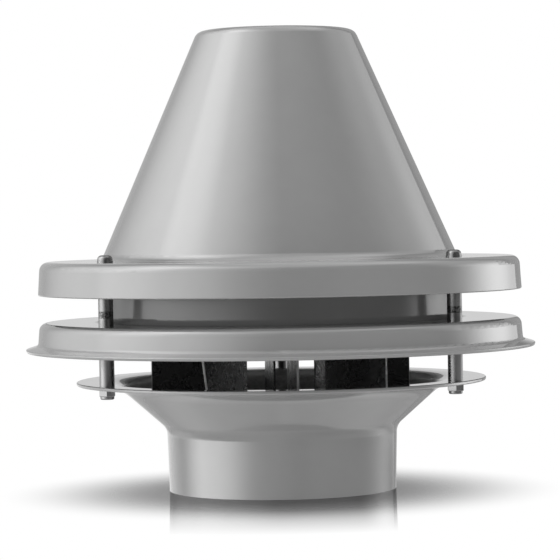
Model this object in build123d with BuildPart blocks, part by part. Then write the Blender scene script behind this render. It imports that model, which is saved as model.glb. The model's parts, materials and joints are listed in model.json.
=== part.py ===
from build123d import *
from math import atan, cos, degrees, radians, sin, tan
import os

os.makedirs("parts", exist_ok=True)

# A roof exhaust fan that stands on its round inlet spigot. Three grey mouldings are stacked on
# three through bolts, with spacer tubes between them. A motor on the middle moulding drives a
# paddle impeller below it. All sizes are in millimetres, +Z is up, and the origin is the
# centre of the spigot's lower rim.

# Mouldings
wall = 3.0                       # laminate thickness
rim_rounding = 1.0               # on the free edges

# Inlet funnel, along its outer and lower side
spigot_foot_radius = 99.4
spigot_neck_radius = 100.9
spigot_height = 54.8
spigot_trim = 1.0                # extra length, cut off flat at the foot
cone_angle = 48.4                # of the funnel, from the vertical
flange_top_z = 96.9
flange_margin = 9.0              # from the bolt circle to the flange's edge
neck_fillet = 13.0
flare_fillet = 43.0

# Motor plate, along its upper side
ring_radius = 210.4              # of the skirt where it would meet the flat ring
skirt_foot_radius = 212.0
ring_skirt_depth = 19.5
lip_width = 10.8
lip_slope = 17.0
drum_base_radius = 152.5
drum_top_radius = 151.0
drum_height = 36.9
lip_fillet = 3.0
ring_edge_fillet = 7.0
drum_base_fillet = 5.5
drum_edge_fillet = 8.0

# Upper hood, along its upper side
hood_rim_radius = 211.4
hood_edge_radius = 209.6
hood_skirt_depth = 29.0
hood_cone_base_radius = 156.1
hood_cone_top_radius = 68.8
hood_cone_height = 199.3
hood_edge_fillet = 8.0
hood_cone_fillet = 10.0
hood_top_fillet = 8.8

# Through bolts and spacer tubes
bolt_count = 3
back_bolt_angle = 90.0
spacer_drum_gap = 11.45          # from the drum's base to a spacer tube
bolt_radius = 4.0
bolt_play = 0.3
lower_spacer_length = 49.2
upper_spacer_length = 50.1
spacer_radius = 6.35
head_radius = 6.5
head_height = 4.8
head_dome = 3.6
socket_flat = 5.0
socket_depth = 2.6
head_washer_radius = 6.8
head_washer_height = 1.3
nut_flat = 13.0
nut_hex_height = 5.2
nut_chamfer = 0.5
collar_radius = 5.9
collar_height = 2.6
collar_rounding = 1.2

# Fits
fit_gap = 0.05                   # radial, for round pieces that sit in or on each other
tapped_gap = 0.05                # radial, for a screw in its thread

# Impeller
blade_count = 8
first_blade_angle = 7.0
blade_inner_radius = 49.0
impeller_radius = 114.0
blade_height = 71.0
blade_thickness = 2.0
bent_blade = 5                   # counted round from the first blade
bent_blade_twist = 9.0
backplate_drop = 34.0            # from the deck's top down to the back plate's top
backplate_thickness = 2.0
hub_flange_radius = 35.0
hub_flange_height = 5.0
hub_boss_radius = 18.0
hub_boss_height = 22.0
hub_pilot_radius = 15.0
hub_pilot_height = 6.0
hub_screw_count = 4
hub_screw_circle_radius = 26.0
hub_screw_radius = 2.5
hub_screw_head_radius = 4.25
hub_screw_head_height = 3.5
set_screw_radius = 3.0
set_screw_length = 9.8
set_screw_drop = 14.0            # from the back plate's underside
shaft_nut_flat = 17.0
shaft_nut_height = 8.0
shaft_washer_radius = 11.0
shaft_washer_height = 2.0

# Motor shaft
thread_radius = 5.0
hub_seat_radius = 7.0
bearing_seat_radius = 7.5
core_seat_radius = 9.0
shaft_tail = 2.0                 # beyond the nut
thread_relief = 0.5

# Bearings and seal
bearing_radius = 17.5
bearing_width = 11.0
outer_race_depth = 3.0
inner_race_depth = 2.5
shield_thickness = 1.0
seal_radius = 13.0
seal_height = 6.0
seal_gap = 0.1
spring_height = 1.5
spring_thickness = 0.5
spring_width = 4.7

# Motor body
mount_count = 4
mount_angle = 45.0
mount_spanner_gap = 4.0          # from the barrel to the flats of a mount bolt's head
mount_lug_radius = 11.0
mount_lug_height = 8.0
mount_bolt_radius = 3.0
mount_head_flat = 10.0
mount_head_height = 4.0
mount_nut_height = 5.0
mount_washer_radius = 9.0
mount_washer_height = 1.5
rubber_radius = 10.0
rubber_height = 8.0
rubber_waist = 1.5
barrel_radius = 65.0
barrel_wall = 6.0
barrel_length = 88.0
rib_count = 24
rib_height = 3.0
rib_width = 3.0
rib_bite = 1.0                   # of a rib into the barrel's wall
rib_end_margin = 6.0
shield_base_height = 12.0
shield_web = 6.0
register_height = 4.0
register_wall = 4.0
bearing_boss_wall = 6.5
boss_drop = 13.0                 # of the lower end shield's boss, below its feet
boss_radius = 28.0
boss_play = 1.5
shaft_play = 1.5
cap_height = 10.0
cap_boss_top = 4.5
cap_fillet = 4.0
ear_radius = 5.5
tie_gap = 0.5                    # from the ribs' tips to a tie screw
ear_height = 8.0
ear_count = 4
tie_radius = 2.5
tie_head_radius = 4.25
tie_head_height = 3.5

# Stator and rotor
core_height = 50.0
core_lift = 19.0                 # above the lower end shield's rim
air_gap = 0.4
rotor_radius = 33.0
slot_count = 24
slot_width = 4.0
slot_depth = 12.0                # outward from the bore
slot_mouth = 1.0                 # of a slot's cut into the bore
coil_gap = 0.2
end_turn_height = 14.0
end_turn_radius = 50.0
end_turn_setback = 2.0           # of the end turns' bore from the stator's
end_turn_fillet = 4.0
cage_bar_count = 18
cage_bar_width = 3.0
cage_bar_depth = 7.0
cage_bar_circle_radius = 26.0
cage_ring_height = 10.0
cage_ring_inner_radius = 20.0
cage_ring_radius = 32.0

# Junction box, its terminal block and its gland
box_x = 114.0
box_width = 44.0
box_length = 60.0
box_height = 33.0
box_wall = 2.5
box_corner = 4.0
lid_thickness = 2.5
post_radius = 4.5
post_inset = 5.5
lid_screw_radius = 1.5
lid_screw_length = 12.0
lid_screw_head_radius = 2.8
lid_screw_head_height = 2.0
box_screw_radius = 2.0
box_screw_head_radius = 3.6
box_screw_head_height = 2.4
box_screw_spacing = 26.0
box_screw_tail = 3.0
terminal_length = 36.0
terminal_width = 13.0
terminal_height = 12.0
terminal_count = 5
terminal_pitch = 7.0
terminal_well_radius = 2.2
terminal_well_depth = 6.0
gland_lift = 18.0                # of the gland's axis above the deck
gland_thread_radius = 6.0
gland_bore_radius = 3.5
gland_flat = 19.0
gland_hex_height = 5.0
gland_tail = 8.0
gland_nut_flat = 17.0
gland_nut_height = 4.0
gland_cap_radius = 8.5
gland_cap_height = 13.0
gland_cap_fillet = 3.0

# Run capacitor and its clip
capacitor_x = -108.0
capacitor_radius = 17.5
capacitor_height = 60.0
capacitor_fillet = 2.0
tab_width = 6.3
tab_thickness = 0.8
tab_height = 8.0
tab_spacing = 14.0
clip_thickness = 1.2
clip_height = 14.0
clip_lift = 14.0
clip_foot_length = 14.0
clip_screw_radius = 2.0
clip_screw_head_radius = 3.6
clip_screw_head_height = 2.4
clip_screw_tail = 3.0

# Heights of the stack
flange_underside_z = flange_top_z - wall
ring_underside_z = flange_top_z + lower_spacer_length
ring_top_z = ring_underside_z + wall
deck_z = ring_top_z + drum_height
deck_underside_z = deck_z - wall
hood_underside_z = ring_top_z + upper_spacer_length
hood_plate_z = hood_underside_z + wall
hood_top_z = hood_plate_z + hood_cone_height

# Heights of the motor
feet_z = deck_z + rubber_height
shield_rim_z = feet_z + shield_base_height
barrel_top_z = shield_rim_z + barrel_length
lower_bearing_z = shield_rim_z - bearing_width
boss_end_z = feet_z - boss_drop
core_z = shield_rim_z + core_lift
core_top_z = core_z + core_height
upper_bearing_top_z = barrel_top_z + bearing_width
spring_top_z = upper_bearing_top_z + spring_height
tie_base_z = shield_rim_z - ear_height
tie_top_z = barrel_top_z + ear_height

# Heights of the impeller
backplate_top_z = deck_z - backplate_drop
backplate_z = backplate_top_z - backplate_thickness
hub_boss_z = backplate_z - hub_boss_height
hub_top_z = backplate_z + hub_pilot_height
shaft_washer_z = hub_boss_z - shaft_washer_height
shaft_nut_z = shaft_washer_z - shaft_nut_height

# Radii and lengths that follow
bolt_hole_radius = bolt_radius + bolt_play
bolt_circle_radius = drum_base_radius + spacer_drum_gap + spacer_radius
flange_radius = bolt_circle_radius + flange_margin
barrel_inner_radius = barrel_radius - barrel_wall
stator_bore_radius = rotor_radius + air_gap
pocket_radius = bearing_radius + fit_gap
seal_pocket_radius = seal_radius + fit_gap
shaft_hole_radius = bearing_seat_radius + shaft_play
bearing_boss_radius = bearing_radius + bearing_boss_wall
deck_hole_radius = boss_radius + boss_play
inner_race_radius = bearing_seat_radius + fit_gap + inner_race_depth
strap_radius = capacitor_radius + fit_gap
mount_circle_radius = barrel_radius + mount_spanner_gap + mount_head_flat / 2
ear_circle_radius = barrel_radius + rib_height + tie_gap + tie_radius
lug_overlap = mount_circle_radius - barrel_inner_radius
ear_overlap = ear_circle_radius - barrel_inner_radius
clip_screw_y = -(strap_radius + clip_thickness + clip_foot_length / 2)


def save(piece, node):
    """Label a finished piece and write it to its own file."""
    piece.part.label = node
    export_step(piece.part, f"parts/{node}.step")


def tubes(base_z, height, outer, inner, circle, count, start_angle):
    """Upright round tubes or washers, set out on a circle."""
    with BuildPart() as group:
        with BuildSketch(Plane.XY.offset(base_z)):
            with PolarLocations(circle, count, start_angle=start_angle):
                Circle(outer)
                Circle(inner, mode=Mode.SUBTRACT)
        extrude(amount=height)
    return group


def ring(base_z, height, outer, inner):
    """One upright ring on the fan's axis."""
    with BuildPart() as single:
        with BuildSketch(Plane.XY.offset(base_z)):
            Circle(outer)
            Circle(inner, mode=Mode.SUBTRACT)
        extrude(amount=height)
    return single


def bearing_outer_ring(base_z):
    """Outer race with its two side shields, which stop just short of the inner race."""
    with BuildPart() as outer_ring:
        with BuildSketch(Plane.XY.offset(base_z)):
            Circle(bearing_radius)
            Circle(inner_race_radius + fit_gap, mode=Mode.SUBTRACT)
        extrude(amount=bearing_width)
        with BuildSketch(Plane.XY.offset(base_z + shield_thickness)):
            Circle(bearing_radius - outer_race_depth)
        extrude(amount=bearing_width - 2 * shield_thickness, mode=Mode.SUBTRACT)
    return outer_ring


# Inlet funnel

spigot_taper = (spigot_neck_radius - spigot_foot_radius) / spigot_height
flare_corner_radius = (spigot_neck_radius
                       + (flange_underside_z - spigot_height) * tan(radians(cone_angle)))

with BuildPart() as inlet_funnel:
    with BuildSketch(Plane.XZ):
        with BuildLine():
            funnel_path = FilletPolyline(
                (spigot_foot_radius - spigot_trim * spigot_taper, -spigot_trim),
                (spigot_neck_radius, spigot_height),
                (flare_corner_radius, flange_underside_z),
                (flange_radius, flange_underside_z),
                radius=[neck_fillet, flare_fillet],
            )
            offset(funnel_path, amount=wall, side=Side.LEFT)
        make_face()
        fillet(vertices().group_by(Axis.X)[-1], radius=rim_rounding)
    revolve(axis=Axis.Z)
    split(bisect_by=Plane.XY)
    with Locations((0, 0, flange_top_z)):
        with PolarLocations(bolt_circle_radius, bolt_count, start_angle=back_bolt_angle):
            Hole(bolt_hole_radius)
save(inlet_funnel, "inlet_funnel")

# Motor plate: lip, skirt, flat ring, drum and deck

lip_root_z = ring_top_z - ring_skirt_depth
lip_tip_z = lip_root_z - lip_width * tan(radians(lip_slope))

with BuildPart() as motor_plate:
    with BuildSketch(Plane.XZ):
        with BuildLine():
            plate_path = FilletPolyline(
                (skirt_foot_radius + lip_width, lip_tip_z),
                (skirt_foot_radius, lip_root_z),
                (ring_radius, ring_top_z),
                (drum_base_radius, ring_top_z),
                (drum_top_radius, deck_z),
                (deck_hole_radius, deck_z),
                radius=[lip_fillet, ring_edge_fillet, drum_base_fillet, drum_edge_fillet],
            )
            offset(plate_path, amount=wall, side=Side.LEFT)
        make_face()
        fillet(vertices().sort_by(Axis.X)[-2:], radius=rim_rounding)
    revolve(axis=Axis.Z)
    with Locations((0, 0, ring_top_z)):
        with PolarLocations(bolt_circle_radius, bolt_count, start_angle=back_bolt_angle):
            Hole(bolt_hole_radius)
    with Locations((0, 0, deck_z)):
        with PolarLocations(mount_circle_radius, mount_count, start_angle=mount_angle):
            Hole(mount_bolt_radius + bolt_play)
    with Locations((box_x, 0, deck_z)):
        with GridLocations(box_screw_spacing, 0, 2, 1):
            Hole(box_screw_radius + tapped_gap)
    with Locations((capacitor_x, clip_screw_y, deck_z)):
        Hole(clip_screw_radius + tapped_gap)
save(motor_plate, "motor_plate")

# Upper hood: skirt, brim plate and closed cone

with BuildPart() as upper_hood:
    with BuildSketch(Plane.XZ):
        with BuildLine():
            hood_path = FilletPolyline(
                (hood_rim_radius, hood_plate_z - hood_skirt_depth),
                (hood_edge_radius, hood_plate_z),
                (hood_cone_base_radius, hood_plate_z),
                (hood_cone_top_radius, hood_top_z),
                (0, hood_top_z),
                radius=[hood_edge_fillet, hood_cone_fillet, hood_top_fillet],
            )
            offset(hood_path, amount=wall, side=Side.LEFT)
        make_face()
        fillet(vertices().sort_by(Axis.Y)[:2], radius=rim_rounding)
    revolve(axis=Axis.Z)
    with Locations((0, 0, hood_plate_z)):
        with PolarLocations(bolt_circle_radius, bolt_count, start_angle=back_bolt_angle):
            Hole(bolt_hole_radius)
save(upper_hood, "upper_hood")

# Spacer tubes and the washers under the bolt heads

lower_spacers = tubes(flange_top_z, lower_spacer_length, spacer_radius, bolt_hole_radius,
                      bolt_circle_radius, bolt_count, back_bolt_angle)
save(lower_spacers, "lower_spacers")

upper_spacers = tubes(ring_top_z, upper_spacer_length, spacer_radius, bolt_hole_radius,
                      bolt_circle_radius, bolt_count, back_bolt_angle)
save(upper_spacers, "upper_spacers")

head_washers = tubes(hood_plate_z, head_washer_height, head_washer_radius, bolt_hole_radius,
                     bolt_circle_radius, bolt_count, back_bolt_angle)
save(head_washers, "head_washers")

# Through bolts with round heads and a hexagon socket

head_z = hood_plate_z + head_washer_height
lock_nut_z = flange_underside_z - nut_hex_height - collar_height

with BuildPart() as through_bolts:
    with BuildSketch(Plane.XY.offset(head_z)):
        with PolarLocations(bolt_circle_radius, bolt_count, start_angle=back_bolt_angle):
            Circle(head_radius)
    extrude(amount=head_height)
    fillet(edges().group_by(Axis.Z)[-1], radius=head_dome)
    with BuildSketch(Plane.XY.offset(head_z + head_height)):
        with PolarLocations(bolt_circle_radius, bolt_count, start_angle=back_bolt_angle):
            RegularPolygon(socket_flat / 2, 6, major_radius=False)
    extrude(amount=-socket_depth, mode=Mode.SUBTRACT)
    with BuildSketch(Plane.XY.offset(lock_nut_z)):
        with PolarLocations(bolt_circle_radius, bolt_count, start_angle=back_bolt_angle):
            Circle(bolt_radius)
    extrude(amount=head_z - lock_nut_z)
save(through_bolts, "through_bolts")

# Lock nuts: a hexagon with a round collar below it

with BuildPart() as lock_nuts:
    with BuildSketch(Plane.XY.offset(lock_nut_z)):
        with PolarLocations(bolt_circle_radius, bolt_count, start_angle=back_bolt_angle):
            Circle(collar_radius)
    extrude(amount=collar_height)
    fillet(edges().group_by(Axis.Z)[0], radius=collar_rounding)
    with BuildSketch(Plane.XY.offset(lock_nut_z + collar_height)):
        with PolarLocations(bolt_circle_radius, bolt_count, start_angle=back_bolt_angle):
            RegularPolygon(nut_flat / 2, 6, major_radius=False)
    extrude(amount=nut_hex_height)
    hexagon_faces = faces().filter_by(Plane.XY).group_by(Axis.Z)[1]
    chamfer(hexagon_faces.edges().filter_by(GeomType.LINE), length=nut_chamfer)
    with BuildSketch(Plane.XY.offset(lock_nut_z)):
        with PolarLocations(bolt_circle_radius, bolt_count, start_angle=back_bolt_angle):
            Circle(bolt_radius + tapped_gap)
    extrude(amount=collar_height + nut_hex_height, mode=Mode.SUBTRACT)
save(lock_nuts, "lock_nuts")

# Impeller blades: flat upright plates, one of them bent aside at its outer edge

bent_blade_angle = first_blade_angle + bent_blade * 360 / blade_count
blade_angles = [first_blade_angle + index * 360 / blade_count for index in range(blade_count)]
blade_length = impeller_radius - blade_inner_radius
blade_centre_radius = blade_inner_radius + blade_length / 2


def blade_section(radius, angle):
    """Plane across a blade at a radius, with its origin under the back plate and Y upward."""
    outward = Vector(cos(radians(angle)), sin(radians(angle)), 0)
    sideways = Vector(-sin(radians(angle)), cos(radians(angle)), 0)
    origin = outward * radius + Vector(0, 0, backplate_z)
    return Plane(origin=origin, x_dir=sideways, z_dir=outward)


with BuildPart() as impeller_blades:
    with BuildSketch(Plane.XY.offset(backplate_z)):
        for index, angle in enumerate(blade_angles):
            if index != bent_blade:
                with PolarLocations(blade_centre_radius, 1, start_angle=angle):
                    Rectangle(blade_length, blade_thickness)
    extrude(amount=-blade_height)
    with BuildSketch(blade_section(blade_inner_radius, bent_blade_angle)):
        Rectangle(blade_thickness, blade_height, align=(Align.CENTER, Align.MAX))
    with BuildSketch(blade_section(impeller_radius, bent_blade_angle)):
        twist_lift = blade_thickness / 2 * sin(radians(bent_blade_twist))
        with Locations((0, -twist_lift)):
            Rectangle(blade_thickness, blade_height, rotation=bent_blade_twist,
                      align=(Align.CENTER, Align.MAX))
    loft()
save(impeller_blades, "impeller_blades")

# Impeller back plate, hub and their screws

with BuildPart() as impeller_backplate:
    with BuildSketch(Plane.XY.offset(backplate_z)):
        Circle(impeller_radius)
        Circle(hub_pilot_radius + fit_gap, mode=Mode.SUBTRACT)
        with PolarLocations(hub_screw_circle_radius, hub_screw_count):
            Circle(hub_screw_radius + tapped_gap, mode=Mode.SUBTRACT)
    extrude(amount=backplate_thickness)
save(impeller_backplate, "impeller_backplate")

with BuildPart() as impeller_hub:
    with BuildSketch(Plane.XY.offset(backplate_z)):
        Circle(hub_flange_radius)
        with PolarLocations(hub_screw_circle_radius, hub_screw_count):
            Circle(hub_screw_radius + tapped_gap, mode=Mode.SUBTRACT)
    extrude(amount=-hub_flange_height)
    with BuildSketch(Plane.XY.offset(backplate_z)):
        Circle(hub_boss_radius)
    extrude(amount=-hub_boss_height)
    with BuildSketch(Plane.XY.offset(backplate_z)):
        Circle(hub_pilot_radius)
    extrude(amount=hub_pilot_height)
    with Locations((0, 0, hub_top_z)):
        Hole(hub_seat_radius + fit_gap)
    set_screw_plane = Plane(origin=(0, 0, backplate_z - set_screw_drop), z_dir=(1, 0, 0))
    with BuildSketch(set_screw_plane):
        Circle(set_screw_radius + tapped_gap)
    extrude(amount=hub_flange_radius, mode=Mode.SUBTRACT)
save(impeller_hub, "impeller_hub")

with BuildPart() as hub_set_screw:
    with BuildSketch(set_screw_plane.offset(hub_seat_radius + fit_gap)):
        Circle(set_screw_radius)
    extrude(amount=set_screw_length)
save(hub_set_screw, "hub_set_screw")

with BuildPart() as hub_screws:
    with BuildSketch(Plane.XY.offset(backplate_top_z)):
        with PolarLocations(hub_screw_circle_radius, hub_screw_count):
            Circle(hub_screw_head_radius)
    extrude(amount=hub_screw_head_height)
    with BuildSketch(Plane.XY.offset(backplate_top_z)):
        with PolarLocations(hub_screw_circle_radius, hub_screw_count):
            Circle(hub_screw_radius)
    extrude(amount=-backplate_thickness - hub_flange_height)
save(hub_screws, "hub_screws")

shaft_washer = ring(shaft_washer_z, shaft_washer_height, shaft_washer_radius,
                    thread_radius + fit_gap)
save(shaft_washer, "shaft_washer")

with BuildPart() as shaft_nut:
    with BuildSketch(Plane.XY.offset(shaft_nut_z)):
        RegularPolygon(shaft_nut_flat / 2, 6, major_radius=False)
        Circle(thread_radius + tapped_gap, mode=Mode.SUBTRACT)
    extrude(amount=shaft_nut_height)
save(shaft_nut, "shaft_nut")

# Motor shaft, turned in steps

with BuildPart() as motor_shaft:
    with BuildSketch(Plane.XZ):
        with BuildLine():
            Polyline(
                (0, shaft_nut_z - shaft_tail),
                (thread_radius, shaft_nut_z - shaft_tail),
                (thread_radius, hub_boss_z + thread_relief),
                (hub_seat_radius, hub_boss_z + thread_relief),
                (hub_seat_radius, hub_top_z),
                (bearing_seat_radius, hub_top_z),
                (bearing_seat_radius, shield_rim_z),
                (core_seat_radius, shield_rim_z),
                (core_seat_radius, barrel_top_z),
                (bearing_seat_radius, barrel_top_z),
                (bearing_seat_radius, upper_bearing_top_z),
                (0, upper_bearing_top_z),
                close=True,
            )
        make_face()
    revolve(axis=Axis.Z)
save(motor_shaft, "motor_shaft")

# Bearings, disc spring and shaft seal

lower_bearing_outer = bearing_outer_ring(lower_bearing_z)
save(lower_bearing_outer, "lower_bearing_outer")

upper_bearing_outer = bearing_outer_ring(barrel_top_z)
save(upper_bearing_outer, "upper_bearing_outer")

lower_bearing_inner = ring(lower_bearing_z, bearing_width, inner_race_radius,
                           bearing_seat_radius + fit_gap)
save(lower_bearing_inner, "lower_bearing_inner")

upper_bearing_inner = ring(barrel_top_z, bearing_width, inner_race_radius,
                           bearing_seat_radius + fit_gap)
save(upper_bearing_inner, "upper_bearing_inner")

with BuildPart() as bearing_spring:
    with BuildSketch(Plane.XZ):
        with BuildLine():
            Polyline(
                (bearing_radius - fit_gap, upper_bearing_top_z),
                (bearing_radius - fit_gap, upper_bearing_top_z + spring_thickness),
                (bearing_radius - spring_width, spring_top_z),
                (bearing_radius - spring_width, spring_top_z - spring_thickness),
                close=True,
            )
        make_face()
    revolve(axis=Axis.Z)
save(bearing_spring, "bearing_spring")

shaft_seal = ring(boss_end_z, seal_height, seal_radius, bearing_seat_radius + seal_gap)
save(shaft_seal, "shaft_seal")

# Lower end shield: feet, web, bearing pocket, seal pocket and the boss through the deck

with BuildPart() as lower_end_shield:
    with BuildSketch(Plane.XZ):
        with BuildLine():
            Polyline(
                (seal_pocket_radius, boss_end_z),
                (boss_radius, boss_end_z),
                (boss_radius, feet_z),
                (barrel_radius, feet_z),
                (barrel_radius, shield_rim_z),
                (barrel_inner_radius - fit_gap, shield_rim_z),
                (barrel_inner_radius - fit_gap, shield_rim_z + register_height),
                (barrel_inner_radius - register_wall, shield_rim_z + register_height),
                (barrel_inner_radius - register_wall, feet_z + shield_web),
                (bearing_boss_radius, feet_z + shield_web),
                (bearing_boss_radius, shield_rim_z),
                (pocket_radius, shield_rim_z),
                (pocket_radius, lower_bearing_z),
                (shaft_hole_radius, lower_bearing_z),
                (shaft_hole_radius, boss_end_z + seal_height),
                (seal_pocket_radius, boss_end_z + seal_height),
                close=True,
            )
        make_face()
    revolve(axis=Axis.Z)
    with BuildSketch(Plane.XY.offset(feet_z)):
        with PolarLocations(mount_circle_radius, mount_count, start_angle=mount_angle):
            Circle(mount_lug_radius)
        with PolarLocations(mount_circle_radius - lug_overlap / 2, mount_count,
                            start_angle=mount_angle):
            Rectangle(lug_overlap, 2 * mount_lug_radius)
    extrude(amount=mount_lug_height)
    with BuildSketch(Plane.XY.offset(tie_base_z)):
        with PolarLocations(ear_circle_radius, ear_count):
            Circle(ear_radius)
        with PolarLocations(ear_circle_radius - ear_overlap / 2, ear_count):
            Rectangle(ear_overlap, 2 * ear_radius)
    extrude(amount=ear_height)
    with Locations((0, 0, feet_z)):
        with PolarLocations(mount_circle_radius, mount_count, start_angle=mount_angle):
            Hole(mount_bolt_radius + bolt_play)
        with PolarLocations(ear_circle_radius, ear_count):
            Hole(tie_radius + tapped_gap)
save(lower_end_shield, "lower_end_shield")

# Upper end shield: cap, bearing pocket and ears

with BuildPart() as upper_end_shield:
    with BuildSketch(Plane.XZ):
        with BuildLine():
            Polyline(
                (0, spring_top_z),
                (pocket_radius, spring_top_z),
                (pocket_radius, barrel_top_z),
                (bearing_boss_radius, barrel_top_z),
                (bearing_boss_radius, barrel_top_z + cap_height - shield_web),
                (barrel_inner_radius - register_wall, barrel_top_z + cap_height - shield_web),
                (barrel_inner_radius - register_wall, barrel_top_z - register_height),
                (barrel_inner_radius - fit_gap, barrel_top_z - register_height),
                (barrel_inner_radius - fit_gap, barrel_top_z),
                (barrel_radius, barrel_top_z),
                (barrel_radius, barrel_top_z + cap_height),
                (bearing_boss_radius, barrel_top_z + cap_height),
                (bearing_boss_radius, spring_top_z + cap_boss_top),
                (0, spring_top_z + cap_boss_top),
                close=True,
            )
        make_face()
        cap_rim = vertices().filter_by_position(
            Axis.X, barrel_radius - fit_gap, barrel_radius + fit_gap).sort_by(Axis.Y)[-1]
        fillet(cap_rim, radius=cap_fillet)
    revolve(axis=Axis.Z)
    with BuildSketch(Plane.XY.offset(barrel_top_z)):
        with PolarLocations(ear_circle_radius, ear_count):
            Circle(ear_radius)
        with PolarLocations(ear_circle_radius - ear_overlap / 2, ear_count):
            Rectangle(ear_overlap, 2 * ear_radius)
    extrude(amount=ear_height)
    with Locations((0, 0, barrel_top_z)):
        with PolarLocations(ear_circle_radius, ear_count):
            Hole(tie_radius + tapped_gap)
save(upper_end_shield, "upper_end_shield")

# Tie screws that clamp both end shields to the barrel

with BuildPart() as tie_screws:
    with BuildSketch(Plane.XY.offset(tie_top_z)):
        with PolarLocations(ear_circle_radius, ear_count):
            Circle(tie_head_radius)
    extrude(amount=tie_head_height)
    with BuildSketch(Plane.XY.offset(tie_base_z)):
        with PolarLocations(ear_circle_radius, ear_count):
            Circle(tie_radius)
    extrude(amount=tie_top_z - tie_base_z)
save(tie_screws, "tie_screws")

# Motor barrel with cooling ribs

with BuildPart() as motor_barrel:
    with BuildSketch(Plane.XY.offset(shield_rim_z)):
        Circle(barrel_radius)
    extrude(amount=barrel_length)
    with BuildSketch(Plane.XY.offset(shield_rim_z + rib_end_margin)):
        with PolarLocations(barrel_radius + rib_height / 2 - rib_bite / 2, rib_count,
                            start_angle=180 / rib_count):
            Rectangle(rib_height + rib_bite, rib_width)
    extrude(amount=barrel_length - 2 * rib_end_margin)
    with Locations((0, 0, barrel_top_z)):
        Hole(barrel_inner_radius)
save(motor_barrel, "motor_barrel")

# Rubber mounts with a waist, and the bolts, washers and nuts that hold the motor

with BuildPart() as rubber_mounts:
    with BuildSketch(Plane.XY.offset(deck_z)):
        with PolarLocations(mount_circle_radius, mount_count, start_angle=mount_angle):
            Circle(rubber_radius)
    extrude(amount=rubber_height / 2, taper=degrees(atan(2 * rubber_waist / rubber_height)))
    mirror(about=Plane.XY.offset(deck_z + rubber_height / 2))
    with Locations((0, 0, feet_z)):
        with PolarLocations(mount_circle_radius, mount_count, start_angle=mount_angle):
            Hole(mount_bolt_radius + bolt_play)
save(rubber_mounts, "rubber_mounts")

mount_head_z = feet_z + mount_lug_height
mount_washer_z = deck_underside_z - mount_washer_height
mount_nut_z = mount_washer_z - mount_nut_height

with BuildPart() as mount_bolts:
    with BuildSketch(Plane.XY.offset(mount_head_z)):
        with PolarLocations(mount_circle_radius, mount_count, start_angle=mount_angle):
            RegularPolygon(mount_head_flat / 2, 6, major_radius=False)
    extrude(amount=mount_head_height)
    with BuildSketch(Plane.XY.offset(mount_nut_z)):
        with PolarLocations(mount_circle_radius, mount_count, start_angle=mount_angle):
            Circle(mount_bolt_radius)
    extrude(amount=mount_head_z - mount_nut_z)
save(mount_bolts, "mount_bolts")

mount_washers = tubes(mount_washer_z, mount_washer_height, mount_washer_radius,
                      mount_bolt_radius + bolt_play, mount_circle_radius, mount_count,
                      mount_angle)
save(mount_washers, "mount_washers")

with BuildPart() as mount_nuts:
    with BuildSketch(Plane.XY.offset(mount_nut_z)):
        with PolarLocations(mount_circle_radius, mount_count, start_angle=mount_angle):
            RegularPolygon(mount_head_flat / 2, 6, major_radius=False)
            Circle(mount_bolt_radius + tapped_gap, mode=Mode.SUBTRACT)
    extrude(amount=mount_nut_height)
save(mount_nuts, "mount_nuts")

# Stator core with open slots, and its winding: two end turns joined by the slot coils

slot_cut = slot_depth + slot_mouth
slot_centre_radius = stator_bore_radius + slot_depth - slot_cut / 2

with BuildPart() as stator_core:
    with BuildSketch(Plane.XY.offset(core_z)):
        Circle(barrel_inner_radius - fit_gap)
        Circle(stator_bore_radius, mode=Mode.SUBTRACT)
        with PolarLocations(slot_centre_radius, slot_count):
            Rectangle(slot_cut, slot_width, mode=Mode.SUBTRACT)
    extrude(amount=core_height)
save(stator_core, "stator_core")

end_turn_bore = stator_bore_radius + end_turn_setback
coil_inner_radius = end_turn_bore + coil_gap
coil_depth = stator_bore_radius + slot_depth - coil_gap - coil_inner_radius

with BuildPart() as stator_winding:
    for base_z, height in ((core_z, -end_turn_height), (core_top_z, end_turn_height)):
        with BuildSketch(Plane.XY.offset(base_z)):
            Circle(end_turn_radius)
            Circle(end_turn_bore, mode=Mode.SUBTRACT)
        extrude(amount=height)
    end_faces = faces().filter_by(Plane.XY).sort_by(Axis.Z)
    fillet(end_faces[0].edges() + end_faces[-1].edges(), radius=end_turn_fillet)
    with BuildSketch(Plane.XY.offset(core_z)):
        with PolarLocations(coil_inner_radius + coil_depth / 2, slot_count):
            Rectangle(coil_depth, slot_width - 2 * coil_gap)
    extrude(amount=core_height)
save(stator_winding, "stator_winding")

# Rotor core, and the cast cage that fills its slots

with BuildPart() as rotor_core:
    with BuildSketch(Plane.XY.offset(core_z)):
        Circle(rotor_radius)
        Circle(core_seat_radius + fit_gap, mode=Mode.SUBTRACT)
        with PolarLocations(cage_bar_circle_radius, cage_bar_count):
            Rectangle(cage_bar_depth, cage_bar_width, mode=Mode.SUBTRACT)
    extrude(amount=core_height)
save(rotor_core, "rotor_core")

with BuildPart() as rotor_cage:
    for base_z, height in ((core_z, -cage_ring_height), (core_top_z, cage_ring_height)):
        with BuildSketch(Plane.XY.offset(base_z)):
            Circle(cage_ring_radius)
            Circle(cage_ring_inner_radius, mode=Mode.SUBTRACT)
        extrude(amount=height)
    with BuildSketch(Plane.XY.offset(core_z)):
        with PolarLocations(cage_bar_circle_radius, cage_bar_count):
            Rectangle(cage_bar_depth - 2 * fit_gap, cage_bar_width - 2 * fit_gap)
    extrude(amount=core_height)
save(rotor_cage, "rotor_cage")

# Junction box with corner posts

box_floor_z = deck_z + box_wall
box_top_z = deck_z + box_height
gland_z = deck_z + gland_lift
post_spacing_x = box_width - 2 * post_inset
post_spacing_y = box_length - 2 * post_inset
box_side_plane = Plane(origin=(box_x, box_length / 2, gland_z), x_dir=(1, 0, 0),
                       z_dir=(0, 1, 0))

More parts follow.
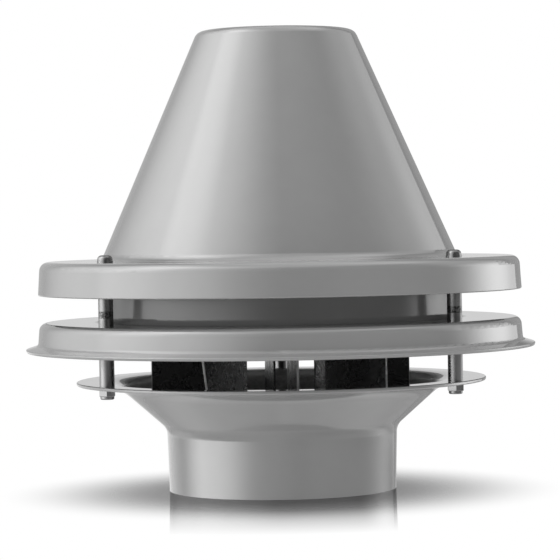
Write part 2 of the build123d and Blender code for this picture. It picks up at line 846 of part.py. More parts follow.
with BuildPart() as junction_box:
    with BuildSketch(Plane.XY.offset(deck_z)):
        with Locations((box_x, 0)):
            RectangleRounded(box_width, box_length, box_corner)
    extrude(amount=box_height)
    with BuildSketch(Plane.XY.offset(box_floor_z)):
        with Locations((box_x, 0)):
            Rectangle(box_width - 2 * box_wall, box_length - 2 * box_wall)
            with GridLocations(post_spacing_x, post_spacing_y, 2, 2):
                Circle(post_radius, mode=Mode.SUBTRACT)
    extrude(amount=box_height - box_wall, mode=Mode.SUBTRACT)
    with BuildSketch(Plane.XY.offset(box_top_z)):
        with Locations((box_x, 0)):
            with GridLocations(post_spacing_x, post_spacing_y, 2, 2):
                Circle(lid_screw_radius + tapped_gap)
    extrude(amount=lid_thickness - lid_screw_length, mode=Mode.SUBTRACT)
    with Locations((box_x, 0, box_floor_z)):
        with GridLocations(box_screw_spacing, 0, 2, 1):
            Hole(box_screw_radius + tapped_gap)
    with BuildSketch(box_side_plane):
        Circle(gland_thread_radius + fit_gap)
    extrude(amount=-box_wall, mode=Mode.SUBTRACT)
save(junction_box, "junction_box")

with BuildPart() as junction_lid:
    with BuildSketch(Plane.XY.offset(box_top_z)):
        with Locations((box_x, 0)):
            RectangleRounded(box_width, box_length, box_corner)
            with GridLocations(post_spacing_x, post_spacing_y, 2, 2):
                Circle(lid_screw_radius + tapped_gap, mode=Mode.SUBTRACT)
    extrude(amount=lid_thickness)
save(junction_lid, "junction_lid")

with BuildPart() as lid_screws:
    with BuildSketch(Plane.XY.offset(box_top_z + lid_thickness)):
        with Locations((box_x, 0)):
            with GridLocations(post_spacing_x, post_spacing_y, 2, 2):
                Circle(lid_screw_head_radius)
    extrude(amount=lid_screw_head_height)
    with BuildSketch(Plane.XY.offset(box_top_z + lid_thickness)):
        with Locations((box_x, 0)):
            with GridLocations(post_spacing_x, post_spacing_y, 2, 2):
                Circle(lid_screw_radius)
    extrude(amount=-lid_screw_length)
save(lid_screws, "lid_screws")

with BuildPart() as box_screws:
    with BuildSketch(Plane.XY.offset(box_floor_z)):
        with Locations((box_x, 0)):
            with GridLocations(box_screw_spacing, 0, 2, 1):
                Circle(box_screw_head_radius)
    extrude(amount=box_screw_head_height)
    with BuildSketch(Plane.XY.offset(box_floor_z)):
        with Locations((box_x, 0)):
            with GridLocations(box_screw_spacing, 0, 2, 1):
                Circle(box_screw_radius)
    extrude(amount=-(box_wall + wall + box_screw_tail))
save(box_screws, "box_screws")

with BuildPart() as terminal_block:
    with BuildSketch(Plane.XY.offset(box_floor_z)):
        with Locations((box_x, 0)):
            Rectangle(terminal_width, terminal_length)
    extrude(amount=terminal_height)
    with BuildSketch(Plane.XY.offset(box_floor_z + terminal_height)):
        with Locations((box_x, 0)):
            with GridLocations(0, terminal_pitch, 1, terminal_count):
                Circle(terminal_well_radius)
    extrude(amount=-terminal_well_depth, mode=Mode.SUBTRACT)
save(terminal_block, "terminal_block")

# Cable gland through the side of the junction box, with its lock nut and its cap

with BuildPart() as cable_gland:
    with BuildSketch(box_side_plane):
        RegularPolygon(gland_flat / 2, 6, major_radius=False)
    extrude(amount=gland_hex_height)
    with BuildSketch(box_side_plane):
        Circle(gland_thread_radius)
    extrude(amount=-gland_tail)
    with BuildSketch(box_side_plane.offset(gland_hex_height)):
        Circle(gland_bore_radius)
    extrude(amount=-gland_hex_height - gland_tail, mode=Mode.SUBTRACT)
save(cable_gland, "cable_gland")

with BuildPart() as gland_cap:
    with BuildSketch(box_side_plane.offset(gland_hex_height)):
        Circle(gland_cap_radius)
    extrude(amount=gland_cap_height)
    fillet(edges().group_by(Axis.Y)[-1], radius=gland_cap_fillet)
    with BuildSketch(box_side_plane.offset(gland_hex_height)):
        Circle(gland_bore_radius)
    extrude(amount=gland_cap_height, mode=Mode.SUBTRACT)
save(gland_cap, "gland_cap")

with BuildPart() as gland_nut:
    with BuildSketch(box_side_plane.offset(-box_wall)):
        RegularPolygon(gland_nut_flat / 2, 6, major_radius=False)
        Circle(gland_thread_radius + tapped_gap, mode=Mode.SUBTRACT)
    extrude(amount=-gland_nut_height)
save(gland_nut, "gland_nut")

# Run capacitor with two tabs, held by a strap with a foot

with BuildPart() as run_capacitor:
    with BuildSketch(Plane.XY.offset(deck_z)):
        with Locations((capacitor_x, 0)):
            Circle(capacitor_radius)
    extrude(amount=capacitor_height)
    fillet(edges().group_by(Axis.Z)[-1], radius=capacitor_fillet)
    with BuildSketch(Plane.XY.offset(deck_z + capacitor_height)):
        with Locations((capacitor_x, 0)):
            with GridLocations(tab_spacing, 0, 2, 1):
                Rectangle(tab_thickness, tab_width)
    extrude(amount=tab_height)
save(run_capacitor, "run_capacitor")

clip_top = clip_lift + clip_height

with BuildPart() as capacitor_clip:
    with BuildSketch(Plane.XY.offset(deck_z)):
        with Locations((capacitor_x, -strap_radius - clip_thickness / 2)):
            Rectangle(clip_height, clip_thickness)
    extrude(amount=clip_top)
    with BuildSketch(Plane.XY.offset(deck_z + clip_lift)):
        with Locations((capacitor_x, 0)):
            Circle(strap_radius + clip_thickness)
    extrude(amount=clip_height)
    with BuildSketch(Plane.XY.offset(deck_z)):
        with Locations((capacitor_x, 0)):
            Circle(strap_radius)
    extrude(amount=clip_top, mode=Mode.SUBTRACT)
    with BuildSketch(Plane.XY.offset(deck_z)):
        with Locations((capacitor_x, -strap_radius - clip_thickness)):
            Rectangle(clip_height, clip_foot_length, align=(Align.CENTER, Align.MAX))
    extrude(amount=clip_thickness)
    with Locations((capacitor_x, clip_screw_y, deck_z)):
        Hole(clip_screw_radius + tapped_gap)
save(capacitor_clip, "capacitor_clip")

with BuildPart() as clip_screw:
    with BuildSketch(Plane.XY.offset(deck_z + clip_thickness)):
        with Locations((capacitor_x, clip_screw_y)):
            Circle(clip_screw_head_radius)
    extrude(amount=clip_screw_head_height)
    with BuildSketch(Plane.XY.offset(deck_z + clip_thickness)):
        with Locations((capacitor_x, clip_screw_y)):
            Circle(clip_screw_radius)
    extrude(amount=-(clip_thickness + wall + clip_screw_tail))
save(clip_screw, "clip_screw")
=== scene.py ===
"""Looks of the roof exhaust fan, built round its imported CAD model.

Lengths are in metres in the model's own frame: +Z runs up the motor shaft, the photograph's
camera looks along +Y, and the fan stands on a table at z = 0. Angles round the room are in
degrees: right and left are counted from +Y as that camera sees them, and rise up from level.

A step is two numbers, where it starts and where it ends. It goes from 0 to 1, unless two more
numbers give its values there. A window is four numbers: where it starts, is full, thins and
ends.
"""
import json
import math

import bpy
from mathutils import Matrix, Vector

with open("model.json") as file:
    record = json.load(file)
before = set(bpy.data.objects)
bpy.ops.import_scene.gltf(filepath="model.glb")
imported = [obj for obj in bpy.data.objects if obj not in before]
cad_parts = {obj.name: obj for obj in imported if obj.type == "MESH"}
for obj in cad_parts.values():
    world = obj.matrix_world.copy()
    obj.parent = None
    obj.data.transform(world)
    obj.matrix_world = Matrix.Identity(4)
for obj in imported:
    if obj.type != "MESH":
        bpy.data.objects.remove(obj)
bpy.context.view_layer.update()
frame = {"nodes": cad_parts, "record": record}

WHITE = (1, 1, 1, 1)

# Camera, at the photograph's viewing angle

PICTURE_WIDTH = 560
FOCAL_PIXELS = 2702
SENSOR_MM = 36.0
CAMERA_PLACE = Vector((0, -2.37, 0.2375))
CAMERA_AIM = Vector((0.0003, 0, 0.183))
CAMERA_ROLL = math.radians(0.95)

# Table, with the drawn part of the fan's soft shadow and the fan's mirror image

TABLE_RADIUS = 0.46
TABLE_CORNERS = 96
TABLE_ALBEDO = 0.9
SHADOW_STEP = (0.095, 0.25)          # radius where the shadow is full, and where it ends
SHADOW_SHIFT = 0.022                 # its middle lies a little nearer to the viewer
MIRROR_GREY = 0.28                   # the mirror's colour where the shadow is full
MIRROR_OFFSET = 1.574                # its share of the table's look is the offset plus the
MIRROR_SLOPE = -4.8                  # slope times the radius, from 0 to MIRROR_MOST
MIRROR_MOST = 0.8

# Places on the fan where a material changes

PAINTED_REFLECTION_WINDOW = (0.1546, 0.1552, 0.1604, 0.1612)  # height of the painted reflection, a dark band, on the upper spacers
BLADE_EDGE_STEP = (0.1132, 0.1138)   # radius from which the blades' outer edges are light grey
WINDING_STEP = (0.035, 0.05)         # radius across the windings
PLATE_DULL_RADIUS = 0.161            # the motor plate wasn't polished inside this radius
DULL_BORDER = 0.004                  # half the width of that border
TURN_WIDTH = 0.14                    # how softly gelcoat gives way to laminate
NOISE_STEP = (0.3, 0.7)              # the range that most of a noise lies in

# Lamp above the fan

LAMP_PLACE = Vector((0, -0.2, 2.0))
LAMP_AIM = Vector((0, 0, 0.1))
LAMP_SIZE = 1.4
LAMP_WATTS = 8.0

# Soft light on the fan, by the X, Y and Z of its direction, each from -1 to 1

ROOM_LIGHT = 0.53                    # from all round
LEFT_LIGHT = 0.5                     # added on the left, near level
LEFT_STEP = (0.2, -0.9)
LEFT_LEVEL_STEP = (0.15, 0.8, 1.0, 0.0)  # by the size of Z
FRONT_LIGHT = 0.1                    # added in front, just above level
FRONT_STEP = (0.2, -0.8)
FRONT_LEVEL_WINDOW = (-0.08, 0.0, 0.12, 0.34)
DIM_LEVEL_STEP = (0.1, 0.32, 0.6, 1.0)  # all of it is dimmer near level, by the size of Z

# Wide soft window on the left, in reflections

KEY_STRENGTH = 2.85
KEY_START_STEP = (27, 94)            # its near edge, to the left
KEY_HIGH_END_STEP = (103, 187, 1.0, 0.0)  # its far edge high up
KEY_LOW_END_STEP = (122, 182, 1.0, 0.0)  # its far edge low down
KEY_HIGH_STEP = (8, 26)              # the rise where low turns into high
KEY_GROWTH_STEP = (5, 38, 0.84, 1.1)  # it is brighter high up
KEY_RISE_WINDOW = (-20, -8, 50, 80)
KEY_MIDDLE_WINDOW = (54, 96, 105, 173)  # its middle is brighter and goes on below level
KEY_MIDDLE_GAIN = 1.25
KEY_WHOLE_STEP = (-6, -2)            # the rise where the rest of it comes in

# Strip light on the right, in reflections

RIM_LEAN = 0.42                      # it leans to the right by this share of its rise
RIM_WINDOW = (28, 30, 62, 96)
RIM_SIDE_STEP = (28, 62, 0.25, 1.0)  # it is brighter further to the right
RIM_BELOW_STEP = (-6.5, -3.5, 0.22, 1.0)  # and dim below level
RIM_STRENGTH_STEP = (2, 30, 2.3, 0.5)  # its strength low down and high up

# Backdrop, walls, ceiling and floor, in reflections

BACKDROP_WINDOW = (-11, -6, 6, 11)   # straight behind the fan
BACKDROP_STRENGTH_STEP = (12, 30, 0.64, 0.0)
WALLS = (                            # window by the angle to the right, and strength
    ((-90, -40, -8, 4), 0.35),
    ((6, 14, 26, 44), 0.22),
    ((30, 60, 140, 170), 0.15),
)
WALL_RISE_WINDOW = (-50, -25, 25, 50)  # of all three
CEILING_STEP = (42, 62, 0.12, 0.9)
FLOOR_SIDE_STEP = (20, 80)           # the floor is dark straight behind the fan,
FLOOR_STEEP_STEP = (-25, -50)        # apart from steeply below
FLOOR_LEVEL_STEP = (-9, -3, 1.0, 0.0)  # the rise where it ends
FLOOR_BRIGHTNESS_STEP = (0.4, -0.4, 0.5, 0.82)  # from right to left, by X of the direction
SWEEP_WINDOW = (-70, -30, -5, 25)    # the lit strip of floor behind the fan
SWEEP_RISE_WINDOW = (-14, -8, -3.4, -2.4)
SWEEP_STRENGTH = 0.35


# Shader helpers


def link(tree, source, target):
    tree.links.new(source, target)


def put(tree, value, socket):
    """Set a socket to a number or colour, or link another socket to it."""
    if isinstance(value, bpy.types.NodeSocket):
        link(tree, value, socket)
    else:
        socket.default_value = value


def calc(tree, operation, first, second=0.0, third=0.0, clamp=False):
    """One Math node."""
    node = tree.nodes.new("ShaderNodeMath")
    node.operation = operation
    node.use_clamp = clamp
    for socket, value in zip(node.inputs, (first, second, third)):
        put(tree, value, socket)
    return node.outputs[0]


def chain(tree, operation, *values):
    """Join several values, one Math node after another."""
    whole = values[0]
    for value in values[1:]:
        whole = calc(tree, operation, whole, value)
    return whole


def vector_calc(tree, operation, *values):
    """The outputs of one Vector Math node."""
    node = tree.nodes.new("ShaderNodeVectorMath")
    node.operation = operation
    for socket, value in zip(node.inputs, values):
        put(tree, value, socket)
    return node.outputs


def split(tree, vector):
    """The X, Y and Z of a vector."""
    node = tree.nodes.new("ShaderNodeSeparateXYZ")
    link(tree, vector, node.inputs[0])
    return node.outputs


def remap(tree, value, low, high, to_low=0.0, to_high=1.0):
    """A smooth step of value from low..high to to_low..to_high."""
    node = tree.nodes.new("ShaderNodeMapRange")
    node.interpolation_type = "SMOOTHSTEP"
    put(tree, value, node.inputs["Value"])
    for name, number in (("From Min", low), ("From Max", high),
                         ("To Min", to_low), ("To Max", to_high)):
        node.inputs[name].default_value = number
    return node.outputs["Result"]


def window(tree, value, rise_from, rise_to, fall_from, fall_to):
    """1 between two soft edges and 0 outside them."""
    return calc(tree, "MULTIPLY", remap(tree, value, rise_from, rise_to),
                remap(tree, value, fall_from, fall_to, 1.0, 0.0))


def blend(tree, factor, first, second, kind="RGBA"):
    """One Mix node, for two colours, or for two numbers where kind is FLOAT."""
    node = tree.nodes.new("ShaderNodeMix")
    node.data_type = kind
    put(tree, factor, node.inputs["Factor"])
    put(tree, first, node.inputs["A"])
    put(tree, second, node.inputs["B"])
    return node.outputs["Result"]


def grey(level):
    """An opaque grey of one level."""
    return (level, level, level, 1.0)


def blend_greys(tree, factor, dark, light):
    """A grey between two levels."""
    return blend(tree, factor, grey(dark), grey(light))


def mix_shaders(tree, factor, first, second):
    """One Mix Shader node between two shader nodes."""
    node = tree.nodes.new("ShaderNodeMixShader")
    for socket, source in zip(node.inputs, (factor, first.outputs[0], second.outputs[0])):
        link(tree, source, socket)
    return node


def place(tree):
    """The point's place in the model's frame."""
    return tree.nodes.new("ShaderNodeTexCoord").outputs["Object"]


def stretch(tree, vector, factors):
    """Scale a vector along its axes, which makes a texture finer along them."""
    return vector_calc(tree, "MULTIPLY", vector, factors)["Vector"]


def polar(tree, vector):
    """Angle round the shaft in turns, radius and height as a vector, and the radius alone."""
    parts = split(tree, vector)
    angle = calc(tree, "ARCTAN2", parts["Y"], parts["X"])
    turns = calc(tree, "DIVIDE", angle, math.tau)
    squares = [calc(tree, "MULTIPLY", parts[axis], parts[axis]) for axis in "XY"]
    radius = calc(tree, "SQRT", calc(tree, "ADD", *squares))
    whole = tree.nodes.new("ShaderNodeCombineXYZ")
    for value, socket in zip((turns, radius, parts["Z"]), whole.inputs):
        link(tree, value, socket)
    return whole.outputs[0], radius


def noise(tree, vector, scale, detail):
    """Soft noise between 0 and 1, finer with a larger scale."""
    node = tree.nodes.new("ShaderNodeTexNoise")
    link(tree, vector, node.inputs["Vector"])
    node.inputs["Scale"].default_value = scale
    node.inputs["Detail"].default_value = detail
    return node.outputs["Fac"]


def streaks(tree, vector, factors, detail):
    """Noise that is drawn out along the axes that have the small factors."""
    return noise(tree, stretch(tree, vector, factors), 1.0, detail)


def cells(tree, vector, scale):
    """Distance to the nearest of scattered points."""
    node = tree.nodes.new("ShaderNodeTexVoronoi")
    link(tree, vector, node.inputs["Vector"])
    node.inputs["Scale"].default_value = scale
    return node.outputs["Distance"]


def bands(tree, vector, scale, distortion):
    """Fine parallel bands, one above the other."""
    node = tree.nodes.new("ShaderNodeTexWave")
    node.bands_direction = "Z"
    link(tree, vector, node.inputs["Vector"])
    node.inputs["Scale"].default_value = scale
    node.inputs["Distortion"].default_value = distortion
    return node.outputs["Fac"]


def bump(tree, height, depth, below=None):
    """Turn a height of 0..1 into relief that is depth metres deep."""
    node = tree.nodes.new("ShaderNodeBump")
    link(tree, height, node.inputs["Height"])
    node.inputs["Distance"].default_value = depth
    if below is not None:
        link(tree, below, node.inputs["Normal"])
    return node.outputs["Normal"]


def start(name, metallic=0.0):
    """A new material with its node tree and Principled shader."""
    made = bpy.data.materials.new(name)
    made.use_nodes = True
    tree = made.node_tree
    shader = tree.nodes["Principled BSDF"]
    shader.inputs["Metallic"].default_value = metallic
    return made, tree, shader


def dress(tree, shader, colour, roughness, relief):
    """Link a material's colour, roughness and relief to its shader."""
    link(tree, colour, shader.inputs["Base Color"])
    link(tree, roughness, shader.inputs["Roughness"])
    link(tree, relief, shader.inputs["Normal"])


# Materials of the mouldings and the metal outside


def glossy_side(tree, point, outward, upward, turn):
    """1 on the side that faces along a direction and 0 on the other, with a soft edge.

    The direction is outward times the one away from the shaft, plus upward times +Z. The
    edge starts where its product with the surface's normal is turn.
    """
    normal = tree.nodes.new("ShaderNodeTexCoord").outputs["Normal"]
    away = vector_calc(tree, "NORMALIZE", stretch(tree, point, (1, 1, 0)))["Vector"]
    facing = vector_calc(tree, "MULTIPLY_ADD", away, (outward,) * 3, (0, 0, upward))["Vector"]
    side = vector_calc(tree, "DOT_PRODUCT", facing, normal)["Value"]
    return remap(tree, side, turn, turn + TURN_WIDTH)


def gelcoat(name, outward, upward, back_roughness, turn=-0.12, dull_radius=0.0):
    """Glossy grey gelcoat on one side of a moulding, bare laminate on its other side.

    outward, upward and turn choose the glossy side, as in glossy_side. Inside dull_radius the
    gelcoat was never polished.
    """
    made, tree, shader = start(name)
    shader.inputs["Coat IOR"].default_value = 1.6
    shader.inputs["Coat Roughness"].default_value = 0.035
    point = place(tree)
    around, radius = polar(tree, point)
    glossy = glossy_side(tree, point, outward, upward, turn)

    mottle = noise(tree, point, scale=45, detail=3)
    front_colour = blend_greys(tree, mottle, dark=0.375, light=0.405)
    strands = cells(tree, stretch(tree, point, (1, 1, 0.4)), scale=320)
    back_colour = blend_greys(tree, strands, dark=0.3, light=0.42)
    colour = blend(tree, glossy, back_colour, front_colour)

    wiped = streaks(tree, around, (6, 1, 60), detail=4)
    front_roughness = remap(tree, wiped, low=0.3, high=0.75, to_low=0.05, to_high=0.1)
    polished = remap(tree, radius, dull_radius - DULL_BORDER, dull_radius + DULL_BORDER)
    shiny = calc(tree, "MULTIPLY", glossy, polished)
    roughness = blend(tree, shiny, back_roughness, front_roughness, kind="FLOAT")
    link(tree, shiny, shader.inputs["Coat Weight"])

    waves = bump(tree, noise(tree, point, scale=16, detail=1), depth=0.00025)
    peel = bump(tree, noise(tree, point, scale=420, detail=1), depth=0.000006, below=waves)
    weave = calc(tree, "MULTIPLY", calc(tree, "SUBTRACT", 1.0, glossy), strands)
    dress(tree, shader, colour, roughness, bump(tree, weave, depth=0.0006, below=peel))
    return made


def drawn_steel():
    """Polished spacer tube, with fine draw lines, dull smears and a painted reflection of the
    plate at its foot, a dark mottled band.
    """
    made, tree, shader = start("polished_steel", metallic=1.0)
    point = place(tree)
    lines = streaks(tree, point, (900, 900, 14), detail=3)
    smears = streaks(tree, point, (90, 90, 60), detail=3)
    # painted reflection of the plate: a dark mottled band near the tube's foot
    foot = window(tree, split(tree, point)["Z"], *PAINTED_REFLECTION_WINDOW)
    specks = noise(tree, point, scale=600, detail=2)
    spots = remap(tree, specks, low=0.4, high=0.6, to_low=0.25, to_high=0.9)
    steel_tone = blend_greys(tree, smears, dark=0.19, light=0.29)
    colour = blend(tree, calc(tree, "MULTIPLY", foot, spots), steel_tone, grey(0.03))
    roughness = remap(tree, smears, low=0.35, high=0.7, to_low=0.24, to_high=0.42)
    dress(tree, shader, colour, roughness, bump(tree, lines, depth=0.00002))
    return made


def plated_steel():
    """Bright plated fasteners, slightly uneven and scuffed."""
    made, tree, shader = start("fastener_steel", metallic=1.0)
    point = place(tree)
    patches = noise(tree, point, scale=260, detail=3)
    scuffs = noise(tree, point, scale=1800, detail=2)
    colour = blend_greys(tree, patches, dark=0.16, light=0.28)
    roughness = remap(tree, patches, *NOISE_STEP, to_low=0.16, to_high=0.34)
    dress(tree, shader, colour, roughness, bump(tree, scuffs, depth=0.00002))
    return made


def textured_black():
    """Baked black paint with a coarse, pebbled skin, light grey on the blades' outer edges."""
    made, tree, shader = start("black_coat")
    shader.inputs["Specular IOR Level"].default_value = 0.8
    point = place(tree)
    tone = noise(tree, point, scale=90, detail=3)
    coat = blend_greys(tree, tone, dark=0.01, light=0.024)
    # light grey on the blades' outer edges
    edge = remap(tree, polar(tree, point)[1], *BLADE_EDGE_STEP)
    colour = blend(tree, edge, coat, grey(0.75))
    roughness = remap(tree, tone, *NOISE_STEP, to_low=0.22, to_high=0.34)
    pebbles = bump(tree, cells(tree, point, scale=620), depth=0.00045)
    grit = noise(tree, point, scale=1500, detail=2)
    dress(tree, shader, colour, roughness, bump(tree, grit, depth=0.0001, below=pebbles))
    return made


# Materials of the parts inside

# Slot, greys, roughness from and to, fineness of the lines along X, Y and Z, and their depth

LINED_METALS = (
    ("barrel_metal", 0.36, 0.48, 0.28, 0.42, (500, 500, 10), 0.00003),
    ("ground_steel", 0.45, 0.62, 0.16, 0.3, (40, 40, 2500), 0.00001),
    ("capacitor_can", 0.5, 0.66, 0.24, 0.38, (600, 600, 12), 0.00002),
)

# Slot, colours, roughness from and to, and fineness and depth of the grain

MOULDED_PARTS = (
    ("rubber", grey(0.015), grey(0.03), 0.65, 0.79, 700, 0.0001),
    ("grey_plastic", grey(0.3), grey(0.35), 0.43, 0.57, 900, 0.00005),
    ("black_plastic", grey(0.018), grey(0.03), 0.41, 0.55, 900, 0.00005),
    ("cream_plastic", (0.6, 0.55, 0.44, 1), (0.7, 0.65, 0.54, 1), 0.38, 0.52, 900, 0.00004),
)


def cast_aluminium():
    """Cast metal with a fine grain and cloudy patches."""
    made, tree, shader = start("cast_aluminium", metallic=1.0)
    point = place(tree)
    grain = noise(tree, point, scale=900, detail=3)
    cloud = noise(tree, point, scale=40, detail=3)
    colour = blend_greys(tree, cloud, dark=0.42, light=0.6)
    roughness = remap(tree, cloud, *NOISE_STEP, to_low=0.42, to_high=0.6)
    dress(tree, shader, colour, roughness, bump(tree, grain, depth=0.00012))
    return made


def lined_metal(name, dark, light, smooth, rough, factors, depth):
    """Metal with fine lines, which run along the axes that have the small factors."""
    made, tree, shader = start(name, metallic=1.0)
    lines = streaks(tree, place(tree), factors, detail=3)
    colour = blend_greys(tree, lines, dark, light)
    roughness = remap(tree, lines, *NOISE_STEP, smooth, rough)
    dress(tree, shader, colour, roughness, bump(tree, lines, depth))
    return made


def laminated_steel():
    """Stack of thin varnished sheets, seen as bands across the shaft."""
    made, tree, shader = start("laminations", metallic=0.8)
    point = place(tree)
    sheets = bands(tree, point, scale=320, distortion=0.4)
    varnish = noise(tree, point, scale=80, detail=3)
    colour = blend_greys(tree, sheets, dark=0.1, light=0.3)
    roughness = remap(tree, varnish, *NOISE_STEP, to_low=0.35, to_high=0.55)
    dress(tree, shader, colour, roughness, bump(tree, sheets, depth=0.0001))
    return made


def wound_copper():
    """Varnished turns of enamelled wire, which run round the shaft."""
    made, tree, shader = start("copper", metallic=0.85)
    around, radius = polar(tree, place(tree))
    turns = bands(tree, around, scale=190, distortion=1.5)
    strands = calc(tree, "ADD", turns, streaks(tree, around, (9, 700, 700), detail=2))
    colour = blend(tree, turns, (0.2, 0.06, 0.02, 1), (0.62, 0.24, 0.1, 1))
    roughness = remap(tree, radius, *WINDING_STEP, to_low=0.25, to_high=0.4)
    dress(tree, shader, colour, roughness, bump(tree, strands, depth=0.0004))
    return made


def moulded(name, dark, light, smooth, rough, grain_scale, grain_depth):
    """Matt moulded plastic or rubber, between two colours."""
    made, tree, shader = start(name)
    point = place(tree)
    cloud = noise(tree, point, scale=60, detail=3)
    grain = noise(tree, point, grain_scale, detail=2)
    colour = blend(tree, cloud, dark, light)
    roughness = remap(tree, cloud, *NOISE_STEP, smooth, rough)
    dress(tree, shader, colour, roughness, bump(tree, grain, grain_depth))
    return made


# Materials on the CAD nodes


def make_materials():
    """One material for each slot in the record."""
    by_slot = {
        "gelcoat": gelcoat("gelcoat", outward=0.5, upward=0.87, back_roughness=0.5),
        "polished_steel": drawn_steel(),
        "fastener_steel": plated_steel(),
        "black_coat": textured_black(),
        "cast_aluminium": cast_aluminium(),
        "laminations": laminated_steel(),
        "copper": wound_copper(),
    }
    for row in LINED_METALS:
        by_slot[row[0]] = lined_metal(*row)
    for row in MOULDED_PARTS:
        by_slot[row[0]] = moulded(*row)
    return by_slot


def dress_nodes():
    """Give each CAD node the material of its slot, and two mouldings a gelcoat of their own."""
    by_slot = make_materials()
    by_node = {
        "inlet_funnel": gelcoat("gelcoat_funnel", outward=0.9, upward=0.0, back_roughness=0.4,
                                turn=-0.5),
        "motor_plate": gelcoat("gelcoat_plate", outward=0.5, upward=0.87, back_roughness=0.2,
                               dull_radius=PLATE_DULL_RADIUS),
    }
    for row in frame["record"]["subparts"]:
        node = frame["nodes"][row["node"]]
        made = by_node.get(row["node"], by_slot[row["material_slot"]])
        node.data.materials.clear()
        node.data.materials.append(made)


# Table


def table_material():
    """White paint with the fan's shadow and a mirror image that fades outward."""
    made = bpy.data.materials.new("table")
    made.use_nodes = True
    tree = made.node_tree
    tree.nodes.clear()
    shifted = vector_calc(tree, "ADD", place(tree), (0, SHADOW_SHIFT, 0))["Vector"]
    radius = polar(tree, shifted)[1]
    seen = tree.nodes.new("ShaderNodeLightPath").outputs["Is Camera Ray"]

    lit = tree.nodes.new("ShaderNodeBsdfDiffuse")
    lit.inputs["Color"].default_value = grey(TABLE_ALBEDO)
    plain = tree.nodes.new("ShaderNodeEmission")
    plain.inputs["Color"].default_value = WHITE
    shade = remap(tree, radius, *SHADOW_STEP)
    ground = mix_shaders(tree, calc(tree, "MULTIPLY", shade, seen), lit, plain)

    mirror = tree.nodes.new("ShaderNodeBsdfGlossy")
    mirror.inputs["Roughness"].default_value = 0.0
    link(tree, blend(tree, shade, grey(MIRROR_GREY), WHITE), mirror.inputs["Color"])
    share = calc(tree, "MULTIPLY_ADD", radius, MIRROR_SLOPE, MIRROR_OFFSET, clamp=True)
    share = calc(tree, "MULTIPLY", calc(tree, "MINIMUM", share, MIRROR_MOST), seen)
    whole = mix_shaders(tree, share, ground, mirror)
    output = tree.nodes.new("ShaderNodeOutputMaterial")
    link(tree, whole.outputs[0], output.inputs["Surface"])
    return made


def make_table():
    """A round table top, which the fan's glossy surfaces don't show."""
    angles = [math.tau * step / TABLE_CORNERS for step in range(TABLE_CORNERS)]
    rim = [(TABLE_RADIUS * math.cos(angle), TABLE_RADIUS * math.sin(angle), 0)
           for angle in angles]
    mesh = bpy.data.meshes.new("table")
    mesh.from_pydata(rim, [], [range(TABLE_CORNERS)])
    mesh.materials.append(table_material())
    table = bpy.data.objects.new("table", mesh)
    bpy.context.scene.collection.objects.link(table)
    table.visible_glossy = False


# Room, as the fan's glossy surfaces show it


def reflected_key(tree, left, rise):
    """The wide soft window on the left, with its middle, which goes on below level."""
    high = remap(tree, rise, *KEY_HIGH_STEP)
    low = calc(tree, "SUBTRACT", 1.0, high)
    high_end = calc(tree, "MULTIPLY", high, remap(tree, left, *KEY_HIGH_END_STEP))
    low_end = calc(tree, "MULTIPLY", low, remap(tree, left, *KEY_LOW_END_STEP))
    middle = calc(tree, "MULTIPLY", window(tree, left, *KEY_MIDDLE_WINDOW), KEY_MIDDLE_GAIN)
    return chain(tree, "MULTIPLY",
                 remap(tree, left, *KEY_START_STEP),
                 calc(tree, "ADD", high_end, low_end),
                 remap(tree, rise, *KEY_GROWTH_STEP),
                 window(tree, rise, *KEY_RISE_WINDOW),
                 calc(tree, "MAXIMUM", middle, remap(tree, rise, *KEY_WHOLE_STEP)),
                 KEY_STRENGTH)


def reflected_rim(tree, right, rise):
    """The slanted strip light on the right, brightest low down."""
    slanted = calc(tree, "MULTIPLY_ADD", rise, -RIM_LEAN, right)
    return chain(tree, "MULTIPLY",
                 window(tree, slanted, *RIM_WINDOW),
                 remap(tree, right, *RIM_SIDE_STEP),
                 remap(tree, rise, *RIM_BELOW_STEP),
                 remap(tree, rise, *RIM_STRENGTH_STEP))


def reflected_walls(tree, right, rise):
    """The lit walls of the room."""
    walls = [calc(tree, "MULTIPLY", window(tree, right, *edges), strength)
             for edges, strength in WALLS]
    return calc(tree, "MULTIPLY", chain(tree, "ADD", *walls),
                window(tree, rise, *WALL_RISE_WINDOW))


def reflected_floor(tree, across, right, rise):
    """The floor and the lit strip of it behind the fan. Across is the X of the direction."""
    aside = remap(tree, calc(tree, "ABSOLUTE", right), *FLOOR_SIDE_STEP)
    floor = chain(tree, "MULTIPLY",
                  calc(tree, "MAXIMUM", aside, remap(tree, rise, *FLOOR_STEEP_STEP)),
                  remap(tree, across, *FLOOR_BRIGHTNESS_STEP),
                  remap(tree, rise, *FLOOR_LEVEL_STEP))
    sweep = chain(tree, "MULTIPLY",
                  window(tree, right, *SWEEP_WINDOW),
                  window(tree, rise, *SWEEP_RISE_WINDOW),
                  SWEEP_STRENGTH)
    return calc(tree, "ADD", floor, sweep)


def reflected_room(tree, direction):
    """How bright the studio looks in the fan's glossy surfaces, by direction."""
    axes = split(tree, direction)
    turn = calc(tree, "ARCTAN2", axes["X"], axes["Y"])
    right = calc(tree, "MULTIPLY", turn, math.degrees(1))
    left = calc(tree, "MULTIPLY", right, -1.0)
    rise = calc(tree, "MULTIPLY", calc(tree, "ARCSINE", axes["Z"]), math.degrees(1))
    whole = chain(tree, "ADD",
                  remap(tree, rise, *CEILING_STEP),
                  reflected_key(tree, left, rise),
                  reflected_rim(tree, right, rise),
                  reflected_walls(tree, right, rise),
                  reflected_floor(tree, axes["X"], right, rise))
    backdrop = calc(tree, "MULTIPLY", window(tree, right, *BACKDROP_WINDOW),
                    remap(tree, rise, *BACKDROP_STRENGTH_STEP))
    return calc(tree, "MAXIMUM", whole, backdrop)


# Light, room and camera


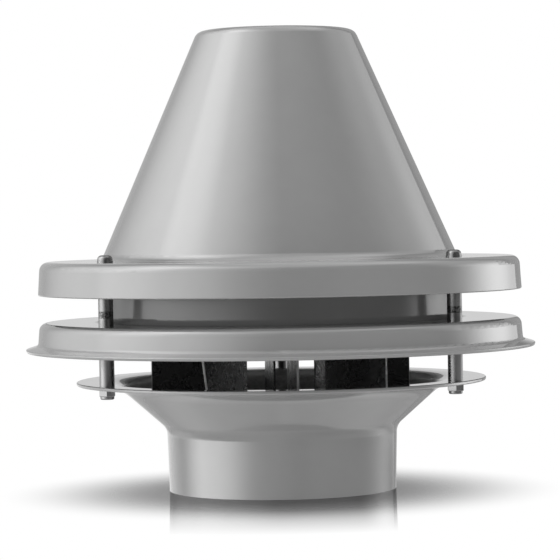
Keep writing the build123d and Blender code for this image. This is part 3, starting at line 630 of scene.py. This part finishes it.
def soft_light(tree, direction):
    """The soft light on the fan, by direction: more on the left and in front, less near level."""
    axes = split(tree, direction)
    height = calc(tree, "ABSOLUTE", axes["Z"])
    left = calc(tree, "MULTIPLY", remap(tree, axes["X"], *LEFT_STEP),
                remap(tree, height, *LEFT_LEVEL_STEP))
    front = calc(tree, "MULTIPLY", remap(tree, axes["Y"], *FRONT_STEP),
                 window(tree, axes["Z"], *FRONT_LEVEL_WINDOW))
    whole = calc(tree, "MULTIPLY_ADD", left, LEFT_LIGHT, ROOM_LIGHT)
    whole = calc(tree, "MULTIPLY_ADD", front, FRONT_LIGHT, whole)
    return calc(tree, "MULTIPLY", whole, remap(tree, height, *DIM_LEVEL_STEP))


def make_room():
    """White to the eye, a studio in reflections, and a soft grey light on the fan."""
    world = bpy.data.worlds.new("room")
    bpy.context.scene.world = world
    world.use_nodes = True
    tree = world.node_tree
    tree.nodes.clear()
    direction = tree.nodes.new("ShaderNodeTexCoord").outputs["Generated"]
    rays = tree.nodes.new("ShaderNodeLightPath").outputs
    indirect = blend(tree, rays["Is Glossy Ray"], soft_light(tree, direction),
                     reflected_room(tree, direction))
    plain = calc(tree, "MAXIMUM", rays["Is Camera Ray"], rays["Is Singular Ray"])
    background = tree.nodes.new("ShaderNodeBackground")
    link(tree, blend(tree, plain, indirect, WHITE), background.inputs["Color"])
    output = tree.nodes.new("ShaderNodeOutputWorld")
    link(tree, background.outputs[0], output.inputs["Surface"])


def aimed(spot, target):
    """The matrix of a lamp or camera at a spot that looks at a target."""
    facing = (target - spot).to_track_quat("-Z", "Y").to_matrix().to_4x4()
    return Matrix.Translation(spot) @ facing


def make_lamp():
    """A square soft lamp above the fan, which the reflections don't show."""
    data = bpy.data.lights.new("top_lamp", "AREA")
    data.shape = "SQUARE"
    data.size = LAMP_SIZE
    data.energy = LAMP_WATTS
    lamp = bpy.data.objects.new("top_lamp", data)
    bpy.context.scene.collection.objects.link(lamp)
    lamp.matrix_world = aimed(LAMP_PLACE, LAMP_AIM)
    lamp.visible_glossy = False


def make_camera():
    """The photograph's camera, with its roll."""
    data = bpy.data.cameras.new("camera")
    data.sensor_width = SENSOR_MM
    data.lens = SENSOR_MM * FOCAL_PIXELS / PICTURE_WIDTH
    camera = bpy.data.objects.new("camera", data)
    bpy.context.scene.collection.objects.link(camera)
    camera.matrix_world = aimed(CAMERA_PLACE, CAMERA_AIM) @ Matrix.Rotation(-CAMERA_ROLL, 4, "Z")
    bpy.context.scene.camera = camera


make_camera()
dress_nodes()
make_table()
make_room()
make_lamp()
bpy.context.scene.view_settings.view_transform = "Standard"
